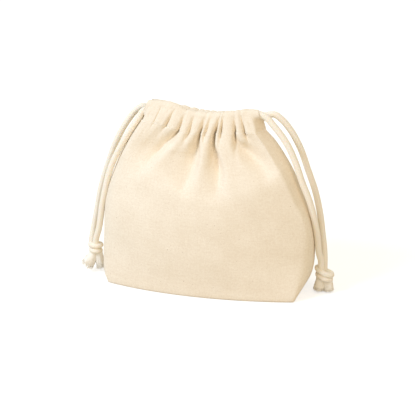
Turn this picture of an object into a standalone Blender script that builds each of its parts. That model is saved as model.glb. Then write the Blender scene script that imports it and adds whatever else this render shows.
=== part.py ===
"""Kinchaku drawstring pouch: a boxed canvas bag, gathered at its mouth by two knotted cords.

Metres, +Z up. The origin is on the floor under the middle of the base, with the front towards -Y.
"""

import math

import bmesh
import bpy
import numpy as np
from mathutils import Matrix, Vector

# Cloth and cords
CLOTH = 0.0008
CORD = 0.006
CORD_ROOM = 0.0007  # clear width between a cord and the casing around it
LAYER_GAP = 0.0003  # between the wall and the hem along the stitching
CORD_GAP = 0.0005  # between the two cords in a casing, and between a cord and its knot

# The body, from the floor to the stitching under the casing
BASE_WIDTH = 0.190
BASE_DEPTH = 0.069
BASE_BOW = 0.0115  # how far the long edges of the base curve outwards
BASE_EDGE = 0.003  # radius between the base and the walls
BELLY_WIDTH = 0.2195
BELLY_DEPTH = 0.100
BODY_HEIGHT = 0.1615

# The mouth: the casing above the stitching, and the slits at the side seams
CASING_HEIGHT = 0.021
MOUTH_WIDTH = 0.125
MOUTH_SHIFT = -0.0045  # the gathered mouth sits a little to the left
SLIT = 0.009  # how far the side seams are left open below the stitching
TUNNEL_END = 0.0060  # from the middle of the pouch to a casing's centre line, at the seams
TUNNEL_MIDDLE = 0.0097  # and in the middle of the panel
HEM_END = 0.10  # part of a panel by which the hem stops short of each seam
CASING_LEAN = 0.008  # how far the left part of the casing leans towards the middle

# The gathers
PLEAT_DEPTH = 0.0054
PLEAT_FULLNESS = 0.72  # lower is fuller, with narrower folds between the pleats
CASING_PLEAT = 0.0034
RIM_PLEAT = 0.0009
BULGE_SKEW = 0.93  # below 1, a panel bulges most a little left of its middle
SIDE_SHARE = 0.10  # part of a panel between its side seam and the body's corner

# Shares of each panel's gathered width, with the depth and the reach of the fold after each pleat
FRONT_PLEATS = (
    (0.117, 0.75, 0.030),
    (0.107, 0.90, 0.034),
    (0.104, 0.90, 0.052),
    (0.103, 0.85, 0.030),
    (0.078, 1.10, 0.046),
    (0.122, 1.25, 0.062),
    (0.056, 0.45, 0.022),
    (0.117, 1.10, 0.036),
    (0.074, 0.95, 0.026),
    (0.122, 0.00, 0.030),
)
BACK_PLEATS = (
    (0.128, 0.80, 0.028),
    (0.082, 1.00, 0.040),
    (0.112, 0.85, 0.030),
    (0.094, 1.15, 0.058),
    (0.118, 0.90, 0.034),
    (0.072, 1.00, 0.044),
    (0.110, 1.05, 0.050),
    (0.088, 0.80, 0.030),
    (0.094, 0.95, 0.028),
    (0.102, 0.00, 0.030),
)

# How far the rim stands above its middle, from the left seam to the right one
FRONT_RIM = (
    (0.0, 0.0077),
    (0.14, 0.0084),
    (0.24, 0.0064),
    (0.34, 0.0014),
    (0.5, 0.0005),
    (0.75, 0.0016),
    (1.0, 0.0036),
)
BACK_RIM = ((0.0, 0.0056), (0.14, 0.0036), (0.30, -0.0024), (0.5, -0.0042), (0.75, -0.0026), (1.0, 0.0016))

# The knots, and the free strands between them and the casing, from the casing's end down
RIGHT_KNOT_WIDTH = 0.0190
LEFT_KNOT_WIDTH = 0.0162
KNOT_HEIGHT = 0.0135
KNOT_FLATNESS = 0.75  # its depth for its width
TAIL_LENGTH = 0.0155
TAIL_END = 0.0088  # the width of a cut end, where the cord's strands open out
RIGHT_ENTRIES = ((-0.0032, -0.0030), (-0.0008, 0.0030))  # where the front and the back strand
LEFT_ENTRIES = ((0.0006, -0.0020), (-0.0046, 0.0020))  # enter their knot, from its middle
RIGHT_KNOT = (0.1195, 0.0005, 0.0208)
LEFT_KNOT = (-0.1215, -0.0105, 0.0215)
RIGHT_TURNS = 20.0  # degrees by which the turns of cord around a knot slope down to the right
LEFT_TURNS = 3.0
RIGHT_TAILS = (5.0, -5.0)  # degrees by which the left tail and the right tail splay to the left
LEFT_TAILS = (20.0, -2.0)
RIGHT_FRONT_STRAND = (
    (0.0635, -0.0062, 0.1800),
    (0.0680, -0.0070, 0.1735),
    (0.0797, -0.0085, 0.1555),
    (0.0885, -0.0090, 0.1370),
    (0.0962, -0.0095, 0.1185),
    (0.1040, -0.0090, 0.0990),
    (0.1095, -0.0075, 0.0780),
    (0.1128, -0.0060, 0.0590),
    (0.1142, -0.0045, 0.0440),
)
RIGHT_BACK_STRAND = (
    (0.0645, 0.0063, 0.1805),
    (0.0710, 0.0070, 0.1760),
    (0.0790, 0.0085, 0.1665),
    (0.0890, 0.0090, 0.1495),
    (0.0987, 0.0085, 0.1250),
    (0.1065, 0.0080, 0.1040),
    (0.1120, 0.0070, 0.0820),
    (0.1155, 0.0058, 0.0600),
    (0.1178, 0.0045, 0.0440),
)
LEFT_FRONT_STRAND = (
    (-0.0685, -0.0062, 0.1772),
    (-0.0730, -0.0070, 0.1705),
    (-0.0828, -0.0085, 0.1555),
    (-0.0932, -0.0100, 0.1365),
    (-0.1000, -0.0115, 0.1195),
    (-0.1060, -0.0125, 0.0985),
    (-0.1108, -0.0135, 0.0755),
    (-0.1145, -0.0140, 0.0520),
)
LEFT_BACK_STRAND = (
    (-0.0690, 0.0060, 0.1785),
    (-0.0765, 0.0060, 0.1745),
    (-0.0860, 0.0055, 0.1640),
    (-0.0985, 0.0035, 0.1430),
    (-0.1080, 0.0005, 0.1165),
    (-0.1145, -0.0025, 0.0940),
    (-0.1200, -0.0050, 0.0650),
    (-0.1232, -0.0065, 0.0480),
)

# Surfaces: base colour and roughness
CANVAS = ((0.93, 0.83, 0.67), 0.92)
COTTON = ((0.91, 0.82, 0.68), 0.88)

PARTS = "kinchaku_pouch"
TOOLS = "kinchaku_pouch_tools"
COLUMNS = 36  # over one panel's gathered width
SIDE_COLUMNS = 3
CASING_STEPS = 8
TURN_START = 1.15  # a cord starts its turn a little before the hem's end
WALL_SHARES = (0.085, 0.19, 0.32, 0.47, 0.61, 0.73, 0.83, 0.895)
TUNNEL_HALF = CORD / 2 + CORD_ROOM + CLOTH
UPPER_CORD = CASING_HEIGHT - TUNNEL_HALF  # heights of the cords above the stitching
LOWER_CORD = UPPER_CORD - CORD - CORD_GAP


def through(points, at):
    """A smooth curve through (place, value, value, ...) points, read at one place."""
    table = np.array(points, float)
    places, values = table[:, 0], table[:, 1:]
    slopes = np.gradient(values, places, axis=0)
    index = int(np.clip(np.searchsorted(places, at) - 1, 0, len(places) - 2))
    span = places[index + 1] - places[index]
    t = (at - places[index]) / span
    start = values[index] * (2 * t**3 - 3 * t**2 + 1) + slopes[index] * span * (t**3 - 2 * t**2 + t)
    end = values[index + 1] * (3 * t**2 - 2 * t**3) + slopes[index + 1] * span * (t**3 - t**2)
    return start + end


def ease(t):
    t = min(max(t, 0.0), 1.0)
    return t * t * (3 - 2 * t)


def rings():
    """Share of the body's height, then the left seam, left corner, right corner and right seam across,
    the corners' depth and the middle's depth."""
    base, belly = BASE_WIDTH / 2, BELLY_WIDTH / 2
    left = MOUTH_SHIFT - MOUTH_WIDTH / 2
    right = MOUTH_SHIFT + MOUTH_WIDTH / 2
    corner, middle = BASE_DEPTH / 2, BELLY_DEPTH / 2
    neck = TUNNEL_MIDDLE + PLEAT_DEPTH
    return (
        (0.00, -base - 0.0040, -base - 0.0040, base, base, corner, corner + BASE_BOW),
        (0.09, -belly + 0.0025, -belly + 0.006, base + 0.003, belly - 0.005, corner, middle - 0.002),
        (0.28, -belly, -belly + 0.0035, belly - 0.007, belly, corner - 0.003, middle),
        (0.61, -belly + 0.005, -belly + 0.012, belly - 0.018, belly - 0.0105, corner - 0.009, middle - 0.006),
        (0.83, left - 0.0210, left - 0.0185, right + 0.0140, right + 0.0235, corner - 0.0145, middle - 0.018),
        (1.00, left, left + 0.0050, right - 0.0070, right, TUNNEL_END + 0.0070, neck),
    )


RINGS = rings()
SOFT_CORNERS = ((0.0, 0.012), (0.09, 0.018), (0.28, 0.050), (0.61, 0.028), (0.83, 0.014), (1.0, 0.010))


def valleys(pleats):
    """Places of the folds between pleats, as shares of the gathered width, with depth and reach."""
    places = np.concatenate([[0.0], np.cumsum([pleat[0] for pleat in pleats])])
    places /= places[-1]
    depths = [0.0] + [pleat[1] for pleat in pleats]
    reaches = [pleats[0][2]] + [pleat[2] for pleat in pleats]
    return list(zip(places, depths, reaches))


def pleat_at(pleats, share):
    """The crest's height, from 0 in a fold to 1, and the folds on either side with the place between."""
    folds = valleys(pleats)
    index = 0
    while index < len(folds) - 2 and share > folds[index + 1][0]:
        index += 1
    before, after = folds[index], folds[index + 1]
    place = min(max((share - before[0]) / (after[0] - before[0]), 0.0), 1.0)
    return abs(math.sin(math.pi * place)) ** PLEAT_FULLNESS, before, after, place


def outline(share, ring, opening):
    """One panel's plan at a height, from the left seam (0) to the right seam (1): across and depth."""
    if share < 0 or share > 1:
        across, depth = outline(-share if share < 0 else 2 - share, ring, opening)
        return across, -depth
    seam_left, corner_left, corner_right, seam_right, corner, middle = ring
    if share < SIDE_SHARE or share > 1 - SIDE_SHARE:
        seam, edge = (seam_left, corner_left) if share < 0.5 else (seam_right, corner_right)
        t = min(share, 1 - share) / SIDE_SHARE
        return seam + (edge - seam) * t, opening + (corner - opening) * t
    t = (share - SIDE_SHARE) / (1 - 2 * SIDE_SHARE)
    bulge = 1 - (2 * t**BULGE_SKEW - 1) ** 2
    return corner_left + (corner_right - corner_left) * t, corner + (middle - corner) * bulge


def soft_outline(share, ring, opening, softness):
    """The plan with its corners rounded: a weighted mean of places along it."""
    from_seam = min(share, 1 - share)
    reach = min(softness, from_seam / 2 + 0.004)
    if opening > 0:
        reach = min(reach, from_seam / 2)
    places = [outline(share + reach * step, ring, opening) for step in (-2, -1, 0, 1, 2)]
    weights = (1, 4, 6, 4, 1)
    return tuple(sum(w * p[axis] for w, p in zip(weights, places)) / 16 for axis in (0, 1))


def rim_rise(panel, share):
    return float(through(FRONT_RIM if panel == "front" else BACK_RIM, share)[0])


def pleats_of(panel):
    return FRONT_PLEATS if panel == "front" else BACK_PLEATS


def facing(panel):
    return -1.0 if panel == "front" else 1.0


def gathered_share(share):
    return (share - SIDE_SHARE) / (1 - 2 * SIDE_SHARE)


def wall_point(panel, share, level):
    """A point on the outside of the wall. level runs from 0 at the floor to 1 at the stitching."""
    ring = through(RINGS, level)
    softness = float(through(SOFT_CORNERS, level)[0])
    slit_start = 1 - SLIT / BODY_HEIGHT
    opening = TUNNEL_END * max(0.0, (level - slit_start) / (1 - slit_start))
    across, depth = soft_outline(share, ring, opening, softness)
    step = 0.004
    before = soft_outline(max(share - step, 0.0), ring, opening, softness)
    after = soft_outline(min(share + step, 1.0), ring, opening, softness)
    along = Vector((after[0] - before[0], after[1] - before[1])).normalized()
    if 0 < gathered_share(share) < 1:
        crest, left, right, place = pleat_at(pleats_of(panel), gathered_share(share))
        drop = (1 - level) * BODY_HEIGHT
        depths = [fold[1] * math.exp(-((drop / fold[2]) ** 1.4)) for fold in (left, right)]
        inward = PLEAT_DEPTH * (1 - crest) * (depths[0] * (1 - place) + depths[1] * place)
        across += along.y * inward
        depth -= along.x * inward
    height = level * BODY_HEIGHT + rim_rise(panel, share) * level**3
    return Vector((across, facing(panel) * depth, height))


def tunnel_centre(share):
    """Depth of a casing's centre line, constant past the hem's ends."""
    place = min(abs(2 * share - 1) / (1 - 2 * HEM_END), 1.0)
    return TUNNEL_END + (TUNNEL_MIDDLE - TUNNEL_END) * (1 - place**2)


def lean(across, height):
    """How far a point of the casing is moved towards the middle."""
    return CASING_LEAN * ease((0.010 - across) / 0.045) * height / CASING_HEIGHT


def casing_crest(panel, share):
    """The pleats' height on the casing, from 0 in a fold to 1 on a crest."""
    if 0 < gathered_share(share) < 1:
        return pleat_at(pleats_of(panel), gathered_share(share))[0]
    return min(share, 1 - share) / SIDE_SHARE


def casing_point(panel, share, height, half, pleat):
    """A point on the casing: half is its distance from the centre line, negative on the hem."""
    foot = wall_point(panel, share, 1.0)
    depth = tunnel_centre(share) + half + pleat * casing_crest(panel, share)
    return Vector((foot.x + lean(foot.x, height), facing(panel) * depth, foot.z + height))


def dome_point(panel, share, angle):
    """A point on the fold over the upper cord: 0 degrees on the wall's side, 180 on the hem's."""
    turn = math.radians(angle)
    across = math.cos(turn)
    pleat = across * (CASING_PLEAT if across > 0 else RIM_PLEAT)
    height = UPPER_CORD + TUNNEL_HALF * math.sin(turn)
    point = casing_point(panel, share, height, TUNNEL_HALF * across, pleat)
    point.z += RIM_PLEAT * math.sin(turn) * casing_crest(panel, share)
    return point


def hem_share(share):
    """The hem's columns close up towards its ends, which stop short of the seams."""
    from_seam = min(share, 1 - share)
    if from_seam < 2 * HEM_END:
        from_seam = HEM_END + from_seam / 2
    return from_seam if share < 0.5 else 1 - from_seam


def hem_foot(panel, shares, height, inset):
    """The hem's lowest rows: the wall's plan just above the stitching, moved inwards by inset."""
    feet = [wall_point(panel, share, 1.0) for share in shares]
    row = []
    for index, foot in enumerate(feet):
        before, after = feet[max(index - 1, 0)], feet[min(index + 1, len(feet) - 1)]
        first = (foot - before).xy.normalized() if index else (after - foot).xy.normalized()
        second = (after - foot).xy.normalized() if index < len(feet) - 1 else first
        bisector = (first + second).normalized()
        inwards = Vector((bisector.y, -bisector.x)) * facing(panel)
        spread = max(bisector.dot(first), 0.45)
        moved = foot.xy + inwards * (inset / spread)
        row.append(Vector((moved.x + lean(foot.x, height), moved.y, foot.z + height)))
    return row


def panel_shares(panel):
    """Where the columns of the mesh run, from the left seam to the right one."""
    side = [SIDE_SHARE * index / SIDE_COLUMNS for index in range(SIDE_COLUMNS)]
    folds = [fold[0] for fold in valleys(pleats_of(panel))]
    middle = []
    for before, after in zip(folds, folds[1:]):
        count = max(2, round(COLUMNS * (after - before)))
        middle += [before + (after - before) * index / count for index in range(count)]
    middle.append(1.0)
    middle = [SIDE_SHARE + share * (1 - 2 * SIDE_SHARE) for share in middle]
    return side + middle + [1 - share for share in reversed(side)]


def base_rows(panel, shares):
    """The rounded edge between the base and the wall, from the floor up."""
    level = BASE_EDGE / BODY_HEIGHT
    wall = [wall_point(panel, share, level) for share in shares]
    rows = []
    for angle in (0.0, 45.0):
        inset = BASE_EDGE * (1 - math.sin(math.radians(angle)))
        height = BASE_EDGE * (1 - math.cos(math.radians(angle)))
        row = []
        for index, point in enumerate(wall):
            before, after = wall[max(index - 1, 0)], wall[min(index + 1, len(wall) - 1)]
            along = (after - before).xy.normalized()
            inwards = Vector((along.y, -along.x)) * facing(panel)
            if index in (0, len(wall) - 1):
                inwards = Vector((1.0 if index == 0 else -1.0, 0.0))
            row.append(Vector((*(point.xy + inwards * inset), height)))
        rows.append(row)
    return rows + [wall]


def panel_rows(panel):
    """All rows of one panel, from the floor up the wall, over the rim and down the hem."""
    shares = panel_shares(panel)
    rows = base_rows(panel, shares)
    slit_start = 1 - SLIT / BODY_HEIGHT
    for level in (*WALL_SHARES, slit_start, 1.0):
        rows.append([wall_point(panel, share, level) for share in shares])
    joined = len(rows) - 1  # the rows from here up are open at the seams
    low = LOWER_CORD - 0.6 * CORD
    for height, half in ((0.0028, 0.55), (low, 0.95), (UPPER_CORD, 1.0)):
        pleat = PLEAT_DEPTH + (CASING_PLEAT - PLEAT_DEPTH) * ease(height / 0.008)
        rows.append([casing_point(panel, share, height, half * TUNNEL_HALF, pleat) for share in shares])
    for angle in (40, 90):
        rows.append([dome_point(panel, share, angle) for share in shares])
    shares = [hem_share(share) for share in shares]
    for angle in (140, 180):
        rows.append([dome_point(panel, share, angle) for share in shares])
    rows.append([casing_point(panel, share, low, -TUNNEL_HALF, -RIM_PLEAT) for share in shares])
    rows.append(hem_foot(panel, shares, 0.0024, 2 * CLOTH + 3 * LAYER_GAP))
    rows.append(hem_foot(panel, shares, 0.0008, 2 * CLOTH + LAYER_GAP))
    return rows, joined


def build_pouch(collection, material):
    """One open sheet of cloth: the base, both walls up to the stitching, and each casing with its hem."""
    mesh = bmesh.new()
    front, joined = panel_rows("front")
    back, _ = panel_rows("back")
    last = len(front[0]) - 1
    front_rows = [[mesh.verts.new(point) for point in row] for row in front]
    back_rows = []
    for level, row in enumerate(back):
        verts = [mesh.verts.new(point) for point in row[1:last]]
        if level < joined:
            ends = front_rows[level][0], front_rows[level][last]
        else:
            ends = mesh.verts.new(row[0]), mesh.verts.new(row[last])
        back_rows.append([ends[0]] + verts + [ends[1]])
    for lower, upper in zip(front_rows, front_rows[1:]):
        for index in range(last):
            mesh.faces.new((lower[index], lower[index + 1], upper[index + 1], upper[index]))
    for lower, upper in zip(back_rows, back_rows[1:]):
        for index in range(last):
            mesh.faces.new((lower[index + 1], lower[index], upper[index], upper[index + 1]))
    add_base(mesh, front_rows[0], back_rows[0])
    data = bpy.data.meshes.new("pouch_body")
    mesh.to_mesh(data)
    mesh.free()
    pouch = place("pouch_body", data, collection, material)
    shell = pouch.modifiers.new("cloth", "SOLIDIFY")
    shell.thickness = CLOTH
    shell.offset = -1
    return pouch


def add_base(mesh, front, back):
    """The flat base: a grid between the bottom rows of the two panels."""
    columns = range(SIDE_COLUMNS, len(front) - SIDE_COLUMNS)
    steps = 2 * SIDE_COLUMNS
    last = len(front) - 1
    left, right = [], []
    for index in range(SIDE_COLUMNS, 0, -1):
        left.append(front[index])
        right.append(front[last - index])
    for index in range(SIDE_COLUMNS + 1):
        left.append(back[index])
        right.append(back[last - index])
    lines = []
    for index in columns:
        start, end = front[index], back[index]
        between = [mesh.verts.new(start.co.lerp(end.co, step / steps)) for step in range(1, steps)]
        lines.append([start] + between + [end])
    for vert in lines[0][1:-1] + lines[-1][1:-1]:
        mesh.verts.remove(vert)
    lines[0], lines[-1] = left, right
    for first, second in zip(lines, lines[1:]):
        for step in range(steps):
            mesh.faces.new((first[step], first[step + 1], second[step + 1], second[step]))


def cord_in_casing(panel, height, side):
    """Points along a casing's centre line at a cord's height, from the seam it leaves by to the far one."""
    points = []
    for step in range(CASING_STEPS + 1):
        share = (1 - TURN_START * HEM_END) * step / CASING_STEPS
        if side > 0:
            share = 1 - share
        foot = wall_point(panel, share, 1.0)
        across = foot.x + lean(foot.x, height)
        points.append(Vector((across, facing(panel) * tunnel_centre(share), foot.z + height)))
    return points


def far_turn(start, end, side, height):
    """The half circle of cord between the two casings at the seam it doesn't leave by."""
    seam = wall_point("front", 0.0 if side < 0 else 1.0, 1.0)
    middle = (start + end) / 2
    radius = (end - start).length / 2
    points = []
    for angle in (36, 72, 108, 144):
        turn = math.radians(angle)
        across = Vector((side * radius * math.sin(turn), 0, 0))
        point = middle + (start - middle) * math.cos(turn) + across
        point.z += (seam.z + height - 2 * CORD_ROOM - middle.z) * math.sin(turn)
        points.append(point)
    return points


def knot_entry(spot, entry):
    """The strand's last two points: it runs straight down to its knot."""
    top = KNOT_HEIGHT / 2 + CORD_GAP
    return [Vector(spot) + Vector((*entry, top + rise)) for rise in (CORD, 0.0)]


def drawcord_route(height, side, spot, entries, front_strand, back_strand):
    """Up one free strand, through both casings with a turn at the far seam, and down the other strand."""
    front, back = cord_in_casing("front", height, side), cord_in_casing("back", height, side)
    points = knot_entry(spot, entries[0])[::-1] + [Vector(point) for point in reversed(front_strand)]
    points += front + far_turn(front[-1], back[-1], -side, height) + back[::-1]
    points += [Vector(point) for point in back_strand] + knot_entry(spot, entries[1])
    return points


def smooth_line(points, spacing):
    """Points on a smooth curve through the route's own points, with longer spans divided evenly."""
    lengths = [0.0]
    for before, after in zip(points, points[1:]):
        lengths.append(lengths[-1] + (after - before).length)
    table = [(length, *point) for length, point in zip(lengths, points)]
    line = []
    for start, end in zip(lengths, lengths[1:]):
        count = max(1, round((end - start) / spacing))
        line += [Vector(through(table, start + (end - start) * index / count)) for index in range(count)]
    return line + [Vector(points[-1])]


def build_cord(name, points, collection, material):
    curve = bpy.data.curves.new(name, "CURVE")
    curve.dimensions = "3D"
    curve.bevel_depth = CORD / 2
    curve.bevel_resolution = 2
    curve.use_fill_caps = True
    line = curve.splines.new("POLY")
    line.points.add(len(points) - 1)
    for spot, point in zip(line.points, points):
        spot.co = (*point, 1.0)
    return place(name, curve, collection, material)


def band(radius, thickness, tilt, height):
    """One turn of cord around a knot, flattened front to back."""
    bpy.ops.mesh.primitive_torus_add(
        major_segments=18, minor_segments=8, major_radius=radius, minor_radius=thickness
    )
    ring = bpy.context.object
    data = ring.data
    bpy.data.objects.remove(ring)
    flat = Matrix.Diagonal((1.0, KNOT_FLATNESS, 1.0, 1.0))
    lift = Matrix.Translation((0, 0, height))
    data.transform(lift @ Matrix.Rotation(math.radians(tilt), 4, "Y") @ flat)
    return data


def ball(width, depth, height):
    mesh = bmesh.new()
    bmesh.ops.create_uvsphere(mesh, u_segments=16, v_segments=8, radius=0.5)
    mesh.transform(Matrix.Diagonal((width, depth, height, 1.0)))
    return finish(mesh, "ball")


def tail(side, splay):
    """A cord's cut end below the knot, a little wider where its strands open out."""
    mesh = bmesh.new()
    bmesh.ops.create_cone(
        mesh, cap_ends=True, segments=10, radius1=TAIL_END / 2, radius2=0.53 * CORD, depth=TAIL_LENGTH
    )
    top = Matrix.Translation((side * 0.53 * CORD, 0, -0.30 * KNOT_HEIGHT))
    hang = Matrix.Translation((0, 0, -TAIL_LENGTH / 2))
    mesh.transform(top @ Matrix.Rotation(math.radians(splay), 4, "Y") @ hang)
    return finish(mesh, "tail")


def finish(mesh, name):
    bmesh.ops.recalc_face_normals(mesh, faces=mesh.faces)
    data = bpy.data.meshes.new(name)
    mesh.to_mesh(data)
    mesh.free()
    return data


def build_knot(name, spot, width, slope, splays, collection, tools, material):
    """Both ends of one cord tied together: a core, two turns of cord around it and two cut tails."""
    core_size = (0.86 * width, 0.86 * KNOT_FLATNESS * width, KNOT_HEIGHT)
    core = place(name, ball(*core_size), collection, material)
    core.location = spot
    radius = width / 2 - 0.45 * CORD
    upper = KNOT_HEIGHT / 2 - 0.45 * CORD - radius * abs(math.sin(math.radians(slope)))
    pieces = {
        "upper_turn": band(radius, 0.45 * CORD, slope, upper),
        "lower_turn": band(0.80 * radius, 0.42 * CORD, slope, upper - 0.70 * CORD),
        "left_tail": tail(-1, splays[0]),
        "right_tail": tail(1, splays[1]),
    }
    for label, data in pieces.items():
        tool = place(f"{name}_{label}", data, tools, material)
        tool.location = spot
        tool.hide_render = True
        tool.display_type = "WIRE"
        union = core.modifiers.new(label, "BOOLEAN")
        union.operation = "UNION"
        union.object = tool
    return core


def material_of(name, look):
    material = bpy.data.materials.new(name)
    material.use_nodes = True
    shader = material.node_tree.nodes["Principled BSDF"]
    shader.inputs["Base Color"].default_value = (*look[0], 1.0)
    shader.inputs["Roughness"].default_value = look[1]
    shader.inputs["Metallic"].default_value = 0.0
    return material


def place(name, data, collection, material):
    data.materials.append(material)
    if isinstance(data, bpy.types.Mesh):
        data.shade_smooth()
    piece = bpy.data.objects.new(name, data)
    collection.objects.link(piece)
    return piece


def main():
    for old in list(bpy.data.objects):
        bpy.data.objects.remove(old)
    parts = bpy.data.collections.new(PARTS)
    tools = bpy.data.collections.new(TOOLS)
    bpy.context.scene.collection.children.link(parts)
    bpy.context.scene.collection.children.link(tools)
    build_pouch(parts, material_of("canvas", CANVAS))
    strands = {
        "right": (UPPER_CORD, 1, RIGHT_KNOT, RIGHT_ENTRIES, RIGHT_FRONT_STRAND, RIGHT_BACK_STRAND),
        "left": (LOWER_CORD, -1, LEFT_KNOT, LEFT_ENTRIES, LEFT_FRONT_STRAND, LEFT_BACK_STRAND),
    }
    for label, run in strands.items():
        cotton = material_of(f"{label}_cord_cotton", COTTON)
        build_cord(f"{label}_drawcord", smooth_line(drawcord_route(*run), 1.8 * CORD), parts, cotton)
    knots = {
        "right": (RIGHT_KNOT, RIGHT_KNOT_WIDTH, RIGHT_TURNS, RIGHT_TAILS),
        "left": (LEFT_KNOT, LEFT_KNOT_WIDTH, LEFT_TURNS, LEFT_TAILS),
    }
    for label, shape in knots.items():
        cotton = material_of(f"{label}_knot_cotton", COTTON)
        build_knot(f"{label}_knot", *shape, parts, tools, cotton)


main()
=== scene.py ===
"""Looks of the kinchaku drawstring pouch: gathered canvas, soft cotton cords, tied knots and frayed ends."""

import math
import random
from functools import partial

import bmesh
import bpy
import numpy as np
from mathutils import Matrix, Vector, noise


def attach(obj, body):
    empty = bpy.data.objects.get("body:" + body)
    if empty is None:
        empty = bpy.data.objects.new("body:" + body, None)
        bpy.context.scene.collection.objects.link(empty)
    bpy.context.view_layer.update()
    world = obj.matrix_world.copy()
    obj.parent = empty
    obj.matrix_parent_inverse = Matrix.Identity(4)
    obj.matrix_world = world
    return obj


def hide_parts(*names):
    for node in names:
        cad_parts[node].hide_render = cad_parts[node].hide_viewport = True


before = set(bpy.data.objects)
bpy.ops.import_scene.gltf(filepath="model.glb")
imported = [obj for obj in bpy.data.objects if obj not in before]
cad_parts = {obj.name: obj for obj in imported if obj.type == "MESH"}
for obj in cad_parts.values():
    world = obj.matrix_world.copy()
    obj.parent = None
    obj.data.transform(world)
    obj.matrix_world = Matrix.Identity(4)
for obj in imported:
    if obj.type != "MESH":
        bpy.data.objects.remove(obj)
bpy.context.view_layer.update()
scene = bpy.context.scene
scene.view_settings.view_transform = "Standard"

# Sizes shared with the solids, in metres unless a comment says otherwise
CLOTH = 0.0008
CORD = 0.006
HEIGHT = 0.1615
CASING = 0.021
TUNNEL_HALF = 0.0045
UPPER_CORD = CASING - TUNNEL_HALF
LOWER_CORD = UPPER_CORD - 0.0065
TUNNEL_END, TUNNEL_MIDDLE = 0.0060, 0.0097
SLIT, SLIT_GAP = 0.009, 0.002
# Shares of the height below the slits, and of a panel's width: a side without gathers, a hem's inset
SLIT_LEVEL = 1 - SLIT / HEIGHT
SIDE, HEM_END = 0.10, 0.10
# The cloth: the pitch of its yarns, a panel's gathered width, and the whole flat sheet
YARN = 0.00085
GATHERED = 0.1145
FLAT_WIDTH, FLAT_LENGTH = 0.253, 0.530
# The sewing thread: length of a stitch, gap to the next one and half thickness
STITCH, STITCH_GAP, THREAD = 0.0024, 0.0008, 0.00024


# -------- camera

# In the photograph's pixels: its width, the lens's length and the point that the camera looks at
PHOTO_WIDTH, LENS, AXIS_X, AXIS_Y = 416, 1187, 209.6, 198.0
SENSOR = 36
AZIMUTH, ELEVATION = math.radians(15), math.radians(20)
AIM, REACH = Vector((0, 0, 0.09)), 1.2


def new_object(name, data):
    made = bpy.data.objects.new(name, data)
    scene.collection.objects.link(made)
    return made


def add_camera():
    back = Vector((math.sin(AZIMUTH) * math.cos(ELEVATION), -math.cos(AZIMUTH) * math.cos(ELEVATION),
                   math.sin(ELEVATION)))
    data = bpy.data.cameras.new("camera")
    data.sensor_width = SENSOR
    data.lens = LENS / PHOTO_WIDTH * SENSOR
    data.shift_x = (PHOTO_WIDTH / 2 - AXIS_X) / PHOTO_WIDTH
    data.shift_y = (AXIS_Y - PHOTO_WIDTH / 2) / PHOTO_WIDTH
    data.clip_start, data.clip_end = 0.05, 60
    camera = new_object("camera", data)
    camera.location = AIM + back * REACH
    camera.rotation_euler = (-back).to_track_quat("-Z", "Y").to_euler()
    scene.camera = camera


add_camera()


# -------- shape of the pouch

def curve(points, at):
    """A smooth curve through (place, value, ...) points, read at one place or at many."""
    table = np.array(points, float)
    places, values = table[:, 0], table[:, 1:]
    slopes = np.gradient(values, places, axis=0)
    at = np.asarray(at, float)
    index = np.clip(np.searchsorted(places, at) - 1, 0, len(places) - 2)
    span = (places[index + 1] - places[index])[..., None]
    t = (at - places[index])[..., None] / span
    start = values[index] * (2 * t**3 - 3 * t**2 + 1) + slopes[index] * span * (t**3 - 2 * t**2 + t)
    end = values[index + 1] * (3 * t**2 - 2 * t**3) + slopes[index + 1] * span * (t**3 - t**2)
    return start + end


def ease(t):
    t = np.clip(t, 0.0, 1.0)
    return t * t * (3 - 2 * t)


def distances(points):
    """How far along a line each of its points lies."""
    return np.concatenate([[0.0], np.cumsum(np.linalg.norm(np.diff(points, axis=0), axis=1))])


def unit(rows):
    return rows / np.linalg.norm(rows, axis=1)[:, None]


# The tables are in millimetres and percent. Divided by these, they are in metres and shares. Where a table has both
# panels, the front is under True.
MM, PC = 1000, 100
SECTION_UNITS = (PC, MM, MM, PC, PC, MM, MM, PC, PC, MM)
FOLD_UNITS = (PC, PC, MM, PC, MM, MM, MM, PC)
# Level, then the left and right seam across
SEAMS = np.array((
    (0, -99, 95), (9, -107.2, 104.8), (28, -110.5, 109.8), (40, -110, 108.5), (50, -108.6, 105.2),
    (60, -105.8, 99.5), (72, -99, 90.5), (83, -89.7, 80.5), (94, -78.6, 67.5), (100, -71.2, 58),
)) / (PC, MM, MM)
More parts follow.
